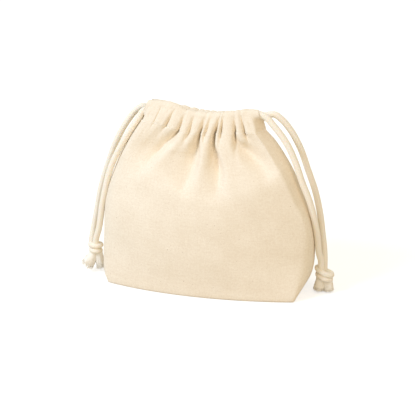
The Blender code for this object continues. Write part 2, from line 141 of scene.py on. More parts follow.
# Level, then across, depth, share of the panel and softness of the left corner and of the right one, then the
# depth in the middle
SECTIONS = {True: np.array((
    (0, -99, 35, 10, 0.6, 95, 35, 10, 0.6, 47.2),
    (5, -104, 32.5, 9.2, 1, 99.5, 32, 9.2, 1.4, 47.2),
    (15, -107.2, 27.7, 8, 2.1, 106, 25.7, 7.5, 2.4, 48.8),
    (28, -108, 24.3, 7.5, 2.9, 108.7, 20.8, 6.5, 2.2, 50),
    (40, -107.1, 23.9, 8, 3.3, 107.7, 19.9, 6.2, 1.5, 49.2),
    (50, -104.8, 23.5, 8.3, 3.4, 103.6, 21.5, 6.7, 0.8, 47.5),
    (60, -100, 22.6, 9, 3.4, 94.5, 23.6, 8, 0.4, 44.3),
    (72, -91.5, 21, 9.5, 2.6, 83.8, 24, 9, 0.3, 39.4),
    (83, -83.3, 19.5, 10, 1.8, 72.2, 21.4, 9.8, 0.3, 32.6),
    (94, -72.2, 17.5, 10, 1.2, 59.2, 18.8, 10, 0.3, 25.8),
    (100, -64, 15.5, 10, 1, 50.5, 17.2, 10, 0.3, 21.4),
)) / SECTION_UNITS, False: np.array((
    (0, -99, 35, 10, 0.6, 95, 35, 10, 0.6, 47.2),
    (5, -102.2, 32.5, 9.2, 1.8, 99, 31.8, 9.2, 1.8, 47.2),
    (15, -104, 28, 8, 3.6, 103, 27.5, 8, 3.6, 48.8),
    (28, -104.5, 25.5, 7.5, 4, 104, 25, 7.5, 4.6, 50),
    (40, -103, 25, 8, 3, 102.5, 25, 8, 4.6, 49),
    (50, -100.5, 25, 8.3, 1.6, 98.5, 25, 8.3, 4.2, 47),
    (60, -97, 25, 9, 0.8, 92.5, 24.5, 9, 3.6, 44),
    (72, -90.5, 23.5, 9.5, 0.5, 83.5, 22.5, 9.5, 2.6, 39),
    (83, -83, 20.5, 10, 0.5, 73, 20, 10, 1.8, 32.6),
    (94, -72, 17.8, 10, 0.5, 60, 17.6, 10, 1.2, 25.6),
    (100, -63.8, 16, 10, 0.5, 51, 15.8, 10, 1, 20.8),
)) / SECTION_UNITS}
# Share of the panel, then how far the rim stands above the pouch's height
RIM = {True: np.array((
    (0, 7.2), (14, 8.2), (24, 7.3), (34, 2.6), (50, 1), (75, 3.8), (90, 5.4), (100, 5.2),
)) / (PC, MM), False: np.array((
    (0, 5.6), (14, 4.6), (30, 0.4), (50, -3), (75, -1.8), (100, 0.4),
)) / (PC, MM)}
# Across at the casing's foot, then how far the casing's top leans to the right of it
LEAN = {True: np.array((
    (-75, 10.4), (-65, 10.6), (-52.7, 9.2), (-40, 10.2), (-27.3, 7), (-16.1, 5.3), (-5.5, 6), (0.3, 6.4),
    (9.3, 5.4), (16.2, 1.2), (31, -2.8), (41.1, -7), (51.1, -9.8), (60, -6.2),
)) / MM, False: np.array((
    (-75, 10.4), (-65, 10), (-55, 7.8), (-30, 5), (0, 0), (40, -5), (50, -8), (60, -6.6),
)) / MM}

# Gathers across a panel: place along the gathered width, share of the full depth and downward reach of the round
# dip, then share of the full depth, downward reach, upward reach and half width of the tight pleat in it, and how
# it drifts across on its way down
FOLDS = {True: np.array((
    (0, 10, 14, 0, 8, 10, 1, -70),
    (9.87, 6, 8, 16, 3, 18, 0.7, -80),
    (20.96, 26, 10, 62, 2, 11, 1, -90),
    (32.09, 62, 16, 50, 8, 14, 1, -95),
    (41.81, 50, 13, 42, 5, 14, 1.2, -55),
    (51.27, 75, 18, 115, 9, 13, 1.2, -22),
    (56.14, 30, 8, 45, 4, 17, 1.5, -5),
    (64.34, 75, 14, 135, 11, 13, 1.4, -2),
    (70.02, 22, 8, 75, 5, 18, 1, 0),
    (82.02, 60, 14, 125, 9, 12, 1.1, 16),
    (90.3, 36, 9, 90, 4, 15, 0.9, 60),
    (100, 10, 10, 0, 8, 10, 1, 90),
)) / FOLD_UNITS, False: np.array((
    (0, 10, 14, 0, 8, 10, 1, -80),
    (12.8, 40, 14, 70, 6, 14, 1.1, -70),
    (21, 70, 20, 100, 12, 12, 1.2, -65),
    (32.2, 60, 16, 70, 7, 16, 1, -40),
    (41.6, 80, 22, 120, 14, 13, 1.3, -20),
    (48, 25, 10, 50, 4, 18, 1.2, 0),
    (53.4, 60, 16, 85, 8, 12, 1.1, 5),
    (60.6, 70, 20, 110, 12, 14, 1.2, 20),
    (71.6, 75, 22, 120, 12, 12, 1.2, 45),
    (80.4, 50, 14, 60, 6, 18, 1, 60),
    (89.8, 50, 12, 90, 6, 13, 1.1, 70),
    (100, 10, 12, 0, 8, 10, 1, 80),
)) / FOLD_UNITS}
# Small slanting creases on the front casing, and long folds that run down from the gathers. First, how sharply the
# left and right sides fall, then points of across, height, depth, left width and right width. The height is from
# the stitching for a crease and from the floor for a fold.
TUCKS = tuple(((1.5, 1.5), *points) for points in (
    ((-29, 17.6, 0, 0.6, 0.8), (-33, 16.6, 1, 0.7, 1), (-38, 15.2, 0, 0.6, 0.8)),
    ((-41.5, 17.6, 0, 0.6, 0.7), (-43.5, 15, 0.7, 0.6, 0.7), (-45, 12.5, 0, 0.6, 0.7)),
    ((35.8, 17, 0, 0.6, 0.7), (37.8, 15.5, 1, 0.7, 0.8), (40.2, 13.8, 0, 0.6, 0.7)),
    ((38.5, 19, 0, 0.6, 0.7), (40, 16.5, 0.9, 0.6, 0.8), (40.8, 14.5, 0, 0.6, 0.7)),
    ((41, 10.5, 0, 0.8, 1), (44, 7.5, 0.9, 0.8, 1.2), (47.5, 5, 0, 0.8, 1)),
    ((-4, 8, 0, 0.8, 0.8), (-2.2, 4.5, 0.7, 0.8, 1), (-1.2, 1, 0, 0.8, 0.8)),
))
RUNS = {True: (
    ((1.35, 1.5), (9.6, 163, 0.4, 3, 1.8), (9.6, 153.1, 7.8, 3.4, 2), (12.8, 144.6, 12.2, 5.4, 2.6),
     (16.4, 133.5, 12.8, 8.2, 3.6), (17.6, 120.5, 8.6, 11.5, 5.8), (16.2, 109, 3.2, 13, 8.5),
     (15, 100, 0, 14, 9)),
    ((1.3, 1.5), (-5.1, 163, 0.4, 3.4, 2), (-6, 155.5, 7.4, 7, 2.6), (-6.3, 148.3, 12.6, 11.2, 3.2),
     (-7.2, 138.8, 15.8, 15.6, 4), (-10.6, 127.9, 13.8, 16.8, 5.8), (-15.3, 118, 8.6, 18.2, 8.4),
     (-21.5, 108, 0, 19, 10)),
    ((1.5, 1.5), (-27, 165, 0.4, 4, 2.8), (-32.2, 156.8, 7, 8.5, 3.6), (-41.5, 149, 11.8, 11, 4.6),
     (-51, 139.5, 12.6, 12, 5), (-60, 128, 5.2, 13, 7), (-66, 115, 0, 12, 9)),
    ((2.2, 1.6), (30, 163.5, 0.4, 2.4, 3), (35, 155, 6.8, 5, 5), (43.6, 148, 11.2, 6, 8.5),
     (54, 140.5, 10.4, 7, 10), (63.5, 133.5, 5.8, 8, 9.5), (71.5, 126, 0, 8, 8.5)),
    ((1.6, 1.6), (39.5, 167, 0.4, 3, 2.5), (43.5, 162.5, 2.6, 3, 3.5), (50, 157.7, 1.6, 3.5, 4.5),
     (58.1, 151, 0, 4, 5)),
    ((1.6, 1.6), (-42, 168, 0.4, 4, 3), (-52, 158, 1.4, 6, 5), (-64, 143, 1.6, 7, 6), (-72, 128.5, 0, 7, 7)),
    ((1.8, 1.8), (-2, 160, 0, 4, 5), (-3.4, 150.5, -1.4, 4.6, 6), (-5.3, 138.5, -2.6, 5.2, 8),
     (-10.7, 125.5, -2.4, 6, 9), (-18.5, 112, 0, 7, 9)),
    ((1.8, 1.8), (-28, 155, 0, 4, 5), (-39, 146, -2, 5, 7), (-50, 135, -2.4, 6, 8), (-59, 122.5, -1.6, 7, 9),
     (-65, 110, 0, 7, 9)),
), False: (
    ((1.3, 1.4), (-6, 163, 0.6, 3, 4), (-8, 150, 5.6, 5, 6), (-11, 135, 6, 7, 11), (-12, 115, 3, 9, 14),
     (-11, 95, 0, 10, 15)),
    ((1.3, 1.4), (27, 163, 0.6, 3, 3), (34, 150, 5, 7, 4), (46, 136, 5, 11, 5), (58, 120, 0, 11, 7)),
    ((1.4, 1.3), (-40, 164, 0.6, 3, 4), (-50, 152, 5, 4, 8), (-60, 138, 3.8, 6, 10), (-68, 122, 0, 7, 11)),
    ((1.5, 1.5), (14, 163, 0.4, 3, 3), (15, 150, 3.4, 5, 4.5), (18, 136, 0, 7, 6)),
)}
# Where the slope of the gathered upper part turns into the upright lower part: across, height, rise. Then how far
# above and below that edge the rise fades out
SHOULDER = np.array((
    (-100, 110, 0), (-68, 111, 1), (-15, 104, 1.4), (18, 99, 2), (36, 110, 3.2), (55, 117, 4), (74, 118, 2.2),
    (95, 116, 0),
)) / MM
SHOULDER_REACH = 0.045

# Full depths: of a round dip, a tight pleat, a long shallow dent, the casing over its foot and a notch in the rim
DIP_DEPTH, PLEAT_DEPTH, SLACK_DEPTH = 0.0062, 0.0058, 0.0010
CASING_FOLD, RIM_NOTCH = 0.0026, 0.0014
# Heights: of the round edge of the base, and of the rim over its cord
BASE_EDGE, RIM_TOP = 0.0024, 0.0044
# Places of a corner that are averaged to round it, in its softness, and their weights
TAPS = np.linspace(-2, 2, 13)
TAP_WEIGHTS = np.cos(TAPS * math.pi / 5) ** 2 / np.sum(np.cos(TAPS * math.pi / 5) ** 2)


def outline(share, section, seams, opening):
    """The plan of a panel with sharp corners: two straight sides and a bulging middle."""
    left, left_depth, left_share, _, right, right_depth, right_share, _, middle = section
    inside = np.where(share > 1, 2 - share, np.abs(share))
    side = np.where((share < 0) | (share > 1), -1.0, 1.0)
    t = np.clip((inside - left_share) / (1 - left_share - right_share), 0.0, 1.0)
    bulge = 1 - (2 * t**0.93 - 1) ** 2
    across = left + (right - left) * t
    depth = left_depth + (right_depth - left_depth) * t + (middle - (left_depth + right_depth) / 2) * bulge
    for near, seam, edge, corner, width in ((inside, seams[0], left, left_depth, left_share),
                                            (1 - inside, seams[1], right, right_depth, right_share)):
        f = near / width
        across = np.where(near < width, seam + (edge - seam) * f, across)
        depth = np.where(near < width, opening + (corner - opening) * f, depth)
    return across, depth * side


def plan(front, share, level):
    """The smooth plan of a panel at a level: across, and depth from the middle of the pouch."""
    section = curve(SECTIONS[front], level)
    seams = curve(SEAMS, level)
    opening = SLIT_GAP * max(0.0, (level - SLIT_LEVEL) / (1 - SLIT_LEVEL))
    from_seam = np.minimum(share, 1 - share)
    softness = np.where(share < 0.5, section[3], section[7])
    reach = np.minimum(softness, from_seam / 2 + (0.004 if opening <= 0 else 0.0))
    return sum(weight * np.array(outline(share + reach * step, section, seams, opening))
               for weight, step in zip(TAP_WEIGHTS, TAPS))


def gathers(front, spot, drop, dip_left, pleat_left):
    """Depth of the gathers at spots across the gathered width, from 0 to 1, at a drop below the stitching. The last
    two say how much of its dip and of its pleat a fold of the table has left there."""
    folds = FOLDS[front]
    centres = folds[:, 0] + folds[:, 7] * drop / GATHERED
    m = np.clip(spot, centres[0], centres[-1] - 1e-5)
    index = np.clip(np.searchsorted(centres, m, side="right") - 1, 0, len(folds) - 2)
    before, after = folds[index], folds[index + 1]
    gap = centres[index + 1] - centres[index]
    place = (m - centres[index]) / gap
    inside = (m - centres[0]) / (centres[-1] - centres[0])
    edge = np.where(spot == m, ease(np.minimum(inside, 1 - inside) / 0.03), 0.0)
    dip = (1 - np.abs(np.sin(np.pi * place)) ** 0.8) * edge
    pleats = [np.exp(-((away * gap * GATHERED / fold[:, 6]) ** 1.5)) * edge * pleat_left(fold)
              for away, fold in ((place, before), (1 - place, after))]
    return (DIP_DEPTH * dip * (dip_left(before) * (1 - place) + dip_left(after) * place)
            + PLEAT_DEPTH * (pleats[0] + pleats[1]))


def wall_fold(front, across, drop):
    """Depth of the gathers on the wall, at a drop below the stitching."""
    left, right = SECTIONS[front][-1, [1, 5]]
    return gathers(front, (across - left) / (right - left), drop,
                   lambda fold: fold[:, 1] * np.exp(-((drop / fold[:, 2]) ** 1.3)),
                   lambda fold: fold[:, 3] * np.exp(-((drop / fold[:, 4]) ** 1.4)))


def casing_fold(front, share, rise):
    """Depth of the gathers on the casing, at a rise above the stitching."""
    fade = 0.30 + 0.70 * math.exp(-((rise / 0.008) ** 1.3))
    return gathers(front, (share - SIDE) / (1 - 2 * SIDE), 0.0,
                   lambda fold: fold[:, 1] * fade,
                   lambda fold: fold[:, 3] * np.exp(-((rise / fold[:, 5]) ** 2)))


def fullness(share):
    """1 over the gathered width, falling to 0 at the seams."""
    return ease(np.minimum(share, 1 - share) / SIDE)


def rim_rise(front, share):
    return curve(RIM[front], share)[..., 0]


def lean_of(front, foot):
    return curve(LEAN[front], np.clip(foot, -0.075, 0.06))[..., 0]


def run_relief(runs, x, z):
    """Depth of the long folds at places on a panel."""
    total = np.zeros(len(x))
    for run in runs:
        (left_fall, right_fall), line = run[0], RUN_LINES[run]
        best = np.full(len(x), 9.0)
        value = np.zeros(len(x))
        for a, b in zip(line, line[1:]):
            way = b[:2] - a[:2]
            t = np.clip(((x - a[0]) * way[0] + (z - a[1]) * way[1]) / np.dot(way, way), 0, 1)
            dx, dz = x - a[0] - way[0] * t, z - a[1] - way[1] * t
            away = np.hypot(dx, dz)
            here = a[2:] + (b - a)[2:] * t[:, None]
            right = (way[0] * dz - way[1] * dx) > 0
            width = np.where(right, here[:, 2], here[:, 1])
            fall = np.where(right, right_fall, left_fall)
            amount = here[:, 0] * np.exp(-((np.sqrt(away * away + 0.0003**2) / width) ** fall))
            nearer = away < best
            value = np.where(nearer, amount, value)
            best = np.where(nearer, away, best)
        total += value
    return total


def run_line(run):
    """A fold's points in metres, on a smooth line through those of its table."""
    points = np.array(run[1:]) / MM
    lengths = distances(points[:, :2])
    return curve(np.column_stack([lengths, points]), np.linspace(0, lengths[-1], 15))


RUN_LINES = {run: run_line(run) for run in RUNS[True] + RUNS[False] + TUCKS}


def shoulder(front, x, z):
    """Outward rise of the shoulder, with its edge where the slope turns."""
    row = curve(SHOULDER, np.clip(x if front else -x, -0.1, 0.095))
    t = (z - row[..., 0]) / SHOULDER_REACH
    v = 1.09 - np.sqrt(t * t + 0.0081)
    v = np.where(v < 0.3, np.maximum(v, 0) ** 2 / 0.6, v - 0.15) / 0.85
    return np.maximum(row[..., 1], 0) * v


def rough(spot, weight, finer):
    """Noise at a spot, with a weight of finer noise on it."""
    return noise.noise(spot) + weight * noise.noise(spot * finer)


def slack(front, share, level):
    """Slow, shallow dents of soft standing cloth."""
    shift = 0.0 if front else 7.3
    return np.array([rough(Vector((s * 3.2 + shift, level * 2.6, shift)), 0.4, 2.3) for s in share])


def crumple(front, share, height, x_pitch, z_pitch, seed):
    """Small wrinkles that run with the gathers."""
    seed += 0.0 if front else 31.7
    return np.array([rough(Vector((s * FLAT_WIDTH / x_pitch, height / z_pitch, seed)), 0.5, 1.9) for s in share])


def placed(front, across, depth, height):
    """Points of a panel, from their depth before the middle of the pouch or behind it."""
    return np.stack([across, -depth if front else depth, height], axis=1)


def wall_row(front, share, level):
    """A row of the wall: its plan, moved inwards by the folds and outwards by the shoulder."""
    across, depth = plan(front, share, level)
    near = [plan(front, np.clip(share + step, 0, 1), level) for step in (-0.003, 0.003)]
    way = near[1] - near[0]
    ta, td = way / np.hypot(*way)
    drop = (1 - level) * HEIGHT
    height = level * HEIGHT + rim_rise(front, share) * level**3
    off_seam = np.clip(np.minimum(share, 1 - share) / 0.06, 0, 1)
    inward = wall_fold(front, across, drop) + run_relief(RUNS[front], across, height) * off_seam
    inward -= shoulder(front, across, height)
    inward -= SLACK_DEPTH * slack(front, share, level) * off_seam * ease(level / 0.15) * ease(drop / 0.03)
    fine = 0.00034 * math.exp(-((drop / 0.016) ** 2)) + 0.00010 * math.exp(-drop / 0.05)
    inward += fine * crumple(front, share, drop, 0.0052, 0.012, 3.1) * off_seam
    from_seam = np.minimum(share, 1 - share) * FLAT_WIDTH
    pull = 0.0008 + 0.0004 * noise.noise(Vector((0.0, level * HEIGHT / 0.0045, 2.2)))
    groove = pull * np.exp(-((from_seam / 0.0011) ** 1.5)) * ease(drop / 0.02)
    across = across + td * inward + np.where(share < 0.5, groove, -groove)
    return placed(front, across, depth - ta * inward, height)


def tunnel_centre(share):
    """How far the cord's line in a casing is from the middle of the pouch."""
    place = np.minimum(np.abs(2 * share - 1) / (1 - 2 * HEM_END), 1.0)
    return TUNNEL_END + (TUNNEL_MIDDLE - TUNNEL_END) * (1 - place**2)


def close_ends(share, height, depth):
    """Below the cord that leaves there, each end of a casing closes towards the seam."""
    cord = np.where(share < 0.5, LOWER_CORD, UPPER_CORD)
    open_here = ease((height - (cord - 0.0062)) / 0.0034)
    near = 1 - ease(np.minimum(share, 1 - share) / (0.85 * SIDE))
    closed = near * (1 - open_here)
    return depth * (1 - closed) + SLIT_GAP * closed


def casing_row(front, share, height, half, outer, top=0.0):
    """A row of the casing. half is how far it stands off the cord's line, outer whether it is the outer side,
    and top how near it is to the rim."""
    base, foot_depth = plan(front, share, 1.0)
    lean = lean_of(front, base) * height / CASING
    fold = casing_fold(front, share, height)
    centre = tunnel_centre(share)
    across = base + lean
    depth = centre + half
    if outer:
        fine = 0.00040 * crumple(front, share, -height, 0.0046, 0.009, 3.1) * (1 - top)
        depth = depth + CASING_FOLD * fullness(share) * (1 - float(ease((height - 0.008) / 0.0125)))
        blend = math.sin(min(height / UPPER_CORD, 1.0) * math.pi / 2)
        depth = depth * blend + foot_depth * (1 - blend)
        if front:
            fold = fold + run_relief(TUCKS, across, np.full(len(share), height))
        room = np.maximum(depth - centre - half * min(height / 0.007, 1.0), 1e-5)
        depth = depth - fold / (1 + (fold / room) ** 4) ** 0.25 - fine
        depth = close_ends(share, height, depth)
        fold = np.minimum(fold, 0.002)
    ruffle = 0.0004 * crumple(front, share, 0.0, 0.0070, 0.02, 9.4)
    z = HEIGHT + rim_rise(front, share) + height - (RIM_NOTCH * np.minimum(fold / 0.002, 1.2) - ruffle) * top
    return placed(front, across, depth, z)


def hem_share(share):
    """The shares of the hem's columns, drawn in at both ends."""
    from_seam = np.minimum(share, 1 - share)
    closed = np.where(from_seam < 2 * HEM_END, HEM_END + from_seam / 2, from_seam)
    return np.where(share < 0.5, closed, 1 - closed)


def panel_shares(front):
    """Where the columns stand along a panel: close together in the pleats, wider apart between them."""
    side = np.concatenate([(0.0, 0.003, 0.0065), np.linspace(0.0115, SIDE, 12)[:-1]])
    near = np.array((0.0003, 0.0006, 0.0010, 0.0015, 0.0022)) / GATHERED
    places = [0.0]
    for before, after in zip(FOLDS[front], FOLDS[front][1:]):
        count = max(2, round((after[0] - before[0] - 2 * near[-1]) * GATHERED / 0.0009))
        between = np.linspace(before[0] + near[-1], after[0] - near[-1], count + 1)[1:-1]
        places += [*(before[0] + near), *between, *(after[0] - near[::-1]), after[0]]
    middle = SIDE + np.array(places) * (1 - 2 * SIDE)
    return np.concatenate([side, middle, 1 - side[::-1]])


# The rim's section over the cord: height above the cord's line, and distance from it
RIM_ARCH = ((0.0013, 0.0043), (0.0024, 0.0036), (0.0033, 0.0026), (0.0040, 0.0014), (RIM_TOP, 0.0002))
# Levels of the wall's rows below the slits: wide apart at first, closer under the gathers
WALL_LEVELS = (*np.linspace(0.04, 0.54, 16), *np.linspace(0.57, 0.81, 17), *np.linspace(0.818, SLIT_LEVEL, 30))
# Heights above the stitching of the rows on the casing's outer side, and on the hem's way down inside
CASING_HEIGHTS = (0.0009, 0.0020, 0.0032, 0.0045, 0.0059, 0.0074, 0.0090, 0.0107, 0.0124, 0.0145, UPPER_CORD)
HEM_HEIGHTS = (UPPER_CORD, 0.0135, 0.0105, 0.0075, 0.0050)


def panel_rows(front):
    """All rows of a panel from the base up, over the rim and down inside, with the numbers of the last row that the
    side seams close and of the stitched row."""
    share = panel_shares(front)
    wall = wall_row(front, share, BASE_EDGE / HEIGHT)
    along = unit(np.gradient(wall[:, :2], axis=0))
    inwards = np.stack([along[:, 1], -along[:, 0]], axis=1) * (-1 if front else 1)
    inwards[0], inwards[-1] = (1, 0), (-1, 0)
    rows = []
    for angle in np.radians((0, 22.5, 45, 67.5)):
        inset, height = BASE_EDGE * (1 - math.sin(angle)), BASE_EDGE * (1 - math.cos(angle))
        rows.append(np.column_stack([wall[:, :2] + inwards * inset, np.full(len(share), height)]))
    rows.append(wall)
    rows += [wall_row(front, share, level) for level in WALL_LEVELS]
    joined = len(rows) - 1
    rows += [wall_row(front, share, SLIT_LEVEL + (1 - SLIT_LEVEL) * t) for t in (0.15, 0.3, 0.45, 0.6, 0.75, 0.88, 1)]
    stitched = len(rows) - 1
    rows += [casing_row(front, share, height, TUNNEL_HALF, True) for height in CASING_HEIGHTS]
    rows += [casing_row(front, share, UPPER_CORD + rise, half, True, rise / RIM_TOP) for rise, half in RIM_ARCH]
    share = hem_share(share)
    rows += [casing_row(front, share, UPPER_CORD + rise, -half, False, rise / RIM_TOP)
             for rise, half in RIM_ARCH[-2::-1]]
    rows += [casing_row(front, share, height, -TUNNEL_HALF, False) for height in HEM_HEIGHTS]
    return rows, joined, stitched


def new_mesh():
    mesh = bmesh.new()
    return mesh, mesh.loops.layers.uv.new("cloth")


def object_from(mesh, name, material):
    data = bpy.data.meshes.new(name)
    mesh.to_mesh(data)
    mesh.free()
    data.shade_smooth()
    data.materials.append(material)
    return new_object(name, data)


def build_pouch(material):
    """The bag as one sheet, and the rows of its two panels, which share their seam points up to the slits."""
    mesh, uv = new_mesh()
    rows = {True: panel_rows(True), False: panel_rows(False)}
    joined = rows[True][1]
    made = {}
    for front, (lines, _, _) in rows.items():
        grid = []
        for level, row in enumerate(lines):
            line = [mesh.verts.new(point) for point in (row if front or level > joined else row[1:-1])]
            if not front and level <= joined:
                line = [made[True][level][0], *line, made[True][level][-1]]
            grid.append(line)
        made[front] = grid
        share = panel_shares(front) * FLAT_WIDTH + (0 if front else 1.0)
        climb = [np.median(np.linalg.norm(b - a, axis=1)) for a, b in zip(lines, lines[1:])]
        high = np.concatenate([[0.0], np.cumsum(climb)])
        for low in range(len(grid) - 1):
            for i in range(len(share) - 1):
                corners = [(low, i), (low, i + 1), (low + 1, i + 1), (low + 1, i)]
                if not front:
                    corners.reverse()
                face = mesh.faces.new([grid[r][c] for r, c in corners])
                for loop, (r, c) in zip(face.loops, corners):
                    loop[uv].uv = (share[c], high[r])
    base_faces(mesh, uv, made[True][0], made[False][0])
    pouch = object_from(mesh, "pouch", material)
    shell = pouch.modifiers.new("cloth", "SOLIDIFY")
    shell.thickness = CLOTH
    shell.offset = -1
    return pouch, rows


def base_faces(mesh, uv, front, back):
    """The flat base between the bottom rows, as a grid that thins out to its two ends."""
    side = 14
    steps = 2 * side
    inner_front, inner_back = front[side:-side], back[side:-side]
    count = len(inner_front)
    grid = []
    for k in range(count):
        t = k / (count - 1) * (len(inner_back) - 1)
        low = min(int(t), len(inner_back) - 2)
        start, end = inner_front[k], inner_back[low].co.lerp(inner_back[low + 1].co, t - low)
        if k == 0:
            grid.append([*front[side:0:-1], *back[:side + 1]])
        elif k == count - 1:
            grid.append([*front[-side - 1:-1], *back[:-side - 2:-1]])
        else:
            grid.append([start] + [mesh.verts.new(start.co.lerp(end, j / steps)) for j in range(1, steps)])
    faces = [mesh.faces.new((first[j], first[j + 1], second[j + 1], second[j]))
             for first, second in zip(grid, grid[1:]) for j in range(steps - 1)]
    ends = [row[steps - 1] for row in grid]
    i = j = 0
    last_end, last_rim = len(ends) - 1, len(inner_back) - 1
    while i < last_end or j < last_rim:
        at_end = j == last_rim or (i < last_end and (i + 1) / last_end <= (j + 1) / last_rim)
        faces.append(mesh.faces.new((ends[i], inner_back[j], ends[i + 1] if at_end else inner_back[j + 1])))
        i, j = (i + 1, j) if at_end else (i, j + 1)
    for face in faces:
        for loop in face.loops:
            loop[uv].uv = (loop.vert.co.x + 2.0, loop.vert.co.y)


# -------- materials

def nodes_of(name):
    material = bpy.data.materials.new(name)
    material.use_nodes = True
    tree = material.node_tree
    return material, tree, tree.nodes["Principled BSDF"]


def feed(socket, value):
    """Give a socket a link or a plain value."""
    if isinstance(value, bpy.types.NodeSocket):
        socket.id_data.links.new(value, socket)
    elif value is not None:
        socket.default_value = value


def fill(node, **values):
    """Feed a node's sockets by their names, with underscores for spaces."""
    for name, value in values.items():
        feed(node.inputs[name.replace("_", " ")], value)
    return node


def math_node(tree, operation, first, second=None):
    node = tree.nodes.new("ShaderNodeMath")
    node.operation = operation
    feed(node.inputs[0], first)
    feed(node.inputs[1], second)
    return node.outputs[0]


def weighted(tree, *terms):
    """The sum of values times their weights."""
    parts = [math_node(tree, "MULTIPLY", value, weight) for value, weight in terms]
    total = parts[0]
    for part in parts[1:]:
        total = math_node(tree, "ADD", total, part)
    return total


def mix_colour(tree, factor, first, second):
    node = tree.nodes.new("ShaderNodeMix")
    node.data_type = "RGBA"
    for number, value in ((0, factor), (6, first), (7, second)):
        feed(node.inputs[number], value)
    return node.outputs[2]


def stretched_noise(tree, uv, scale, detail, roughness=0.5):
    mapping = fill(tree.nodes.new("ShaderNodeMapping"), Scale=(*scale, 1), Vector=uv)
    return fill(tree.nodes.new("ShaderNodeTexNoise"), Scale=1.0, Detail=detail, Roughness=roughness,
                Vector=mapping.outputs[0]).outputs["Fac"]


def ramp(tree, value, low, high):
    return fill(tree.nodes.new("ShaderNodeMapRange"), From_Min=low, From_Max=high, Value=value).outputs[0]


def split_uv(tree):
    uv = tree.nodes.new("ShaderNodeUVMap").outputs[0]
    split = fill(tree.nodes.new("ShaderNodeSeparateXYZ"), Vector=uv)
    return uv, split.outputs[0], split.outputs[1]


def joined_vector(tree, x, y):
    return fill(tree.nodes.new("ShaderNodeCombineXYZ"), X=x, Y=y).outputs[0]


def bumped(tree, shader, height, distance, strength):
    bump = fill(tree.nodes.new("ShaderNodeBump"), Strength=strength, Distance=distance, Height=height)
    fill(shader, Normal=bump.outputs[0])


def crown(tree, off):
    """How high a round yarn or strand stands at a share of its width off its middle."""
    op = partial(math_node, tree)
    twice = op("MULTIPLY", off, 2.0)
    return op("SQRT", op("MAXIMUM", op("SUBTRACT", 1.0, op("MULTIPLY", twice, twice)), 0.0))


def canvas_material():
    """Plain weave: warp and weft yarns that pass over and under each other, each with its own slubs and tone, with
    painted shade where they dip.
    """
    material, tree, shader = nodes_of("canvas")
    uv, x, y = split_uv(tree)
    op = partial(math_node, tree)
    across, along = op("DIVIDE", x, YARN), op("DIVIDE", y, YARN)
    warp_yarn, weft_yarn = op("ROUND", across), op("ROUND", along)

    def yarn(place, number, other, lift):
        """Height of one set of yarns: round across, and rising and dipping along."""
        turns = [op("COSINE", op("MULTIPLY", count, math.pi)) for count in (number, other)]
        return weighted(tree, (crown(tree, op("SUBTRACT", place, number)), 0.6), (op("MULTIPLY", *turns), lift))

    warp, weft = yarn(across, warp_yarn, along, 0.5), yarn(along, weft_yarn, across, -0.5)
    weave = op("MAXIMUM", warp, weft)
    warp_slub = stretched_noise(tree, joined_vector(tree, warp_yarn, y), (3.7, 70), 2)
    weft_slub = stretched_noise(tree, joined_vector(tree, x, weft_yarn), (70, 3.7), 2)
    on_top = op("GREATER_THAN", warp, weft)
    slub = op("ADD", op("MULTIPLY", on_top, warp_slub), op("MULTIPLY", op("SUBTRACT", 1.0, on_top), weft_slub))
    grain = stretched_noise(tree, uv, (430, 430), 2, 0.6)
    speckle = stretched_noise(tree, uv, (950, 950), 1)
    cloudy = stretched_noise(tree, uv, (48, 48), 3)
    # The tone is mostly the yarns' own random tone. Its weave term is painted shade: lighter on the yarns' crowns,
    # darker where they dip under each other.
    tone = weighted(tree, (slub, 0.30), (cloudy, 0.22), (grain, 0.34), (speckle, 0.22),
                    (op("SUBTRACT", weave, 0.75), 0.10))
    colour = mix_colour(tree, ramp(tree, tone, 0.40, 0.70), (0.842, 0.722, 0.550, 1), (0.968, 0.872, 0.708, 1))
    fleck = stretched_noise(tree, uv, (520, 520), 1)
    patch = stretched_noise(tree, uv, (95, 95), 1)
    spots = op("MULTIPLY", ramp(tree, fleck, 0.70, 0.78), ramp(tree, patch, 0.42, 0.60))
    colour = mix_colour(tree, op("MULTIPLY", spots, 0.55), colour, (0.42, 0.27, 0.14, 1))
    height = weighted(tree, (weave, 0.55), (slub, 0.5), (grain, 1.5), (speckle, 0.7))
    bumped(tree, shader, height, 0.00022, 0.55)
    fill(shader, Base_Color=colour, Roughness=0.92, Specular_IOR_Level=0.25, Sheen_Weight=0.20, Sheen_Roughness=0.45)
    return material


def cotton_shader(shader, colour, scatter):
    """Soft matt cotton, which lets a share of the light into its thickness."""
    fill(shader, Base_Color=colour, Roughness=0.9, Specular_IOR_Level=0.2, Sheen_Weight=0.25, Sheen_Roughness=0.45,
         Subsurface_Weight=scatter, Subsurface_Radius=(1.0, 0.75, 0.5), Subsurface_Scale=0.002)


# The braid: columns of slanting strands around a cord, and their pitch along it
BRAID_COLUMNS, BRAID_PITCH = 8.0, 0.0027


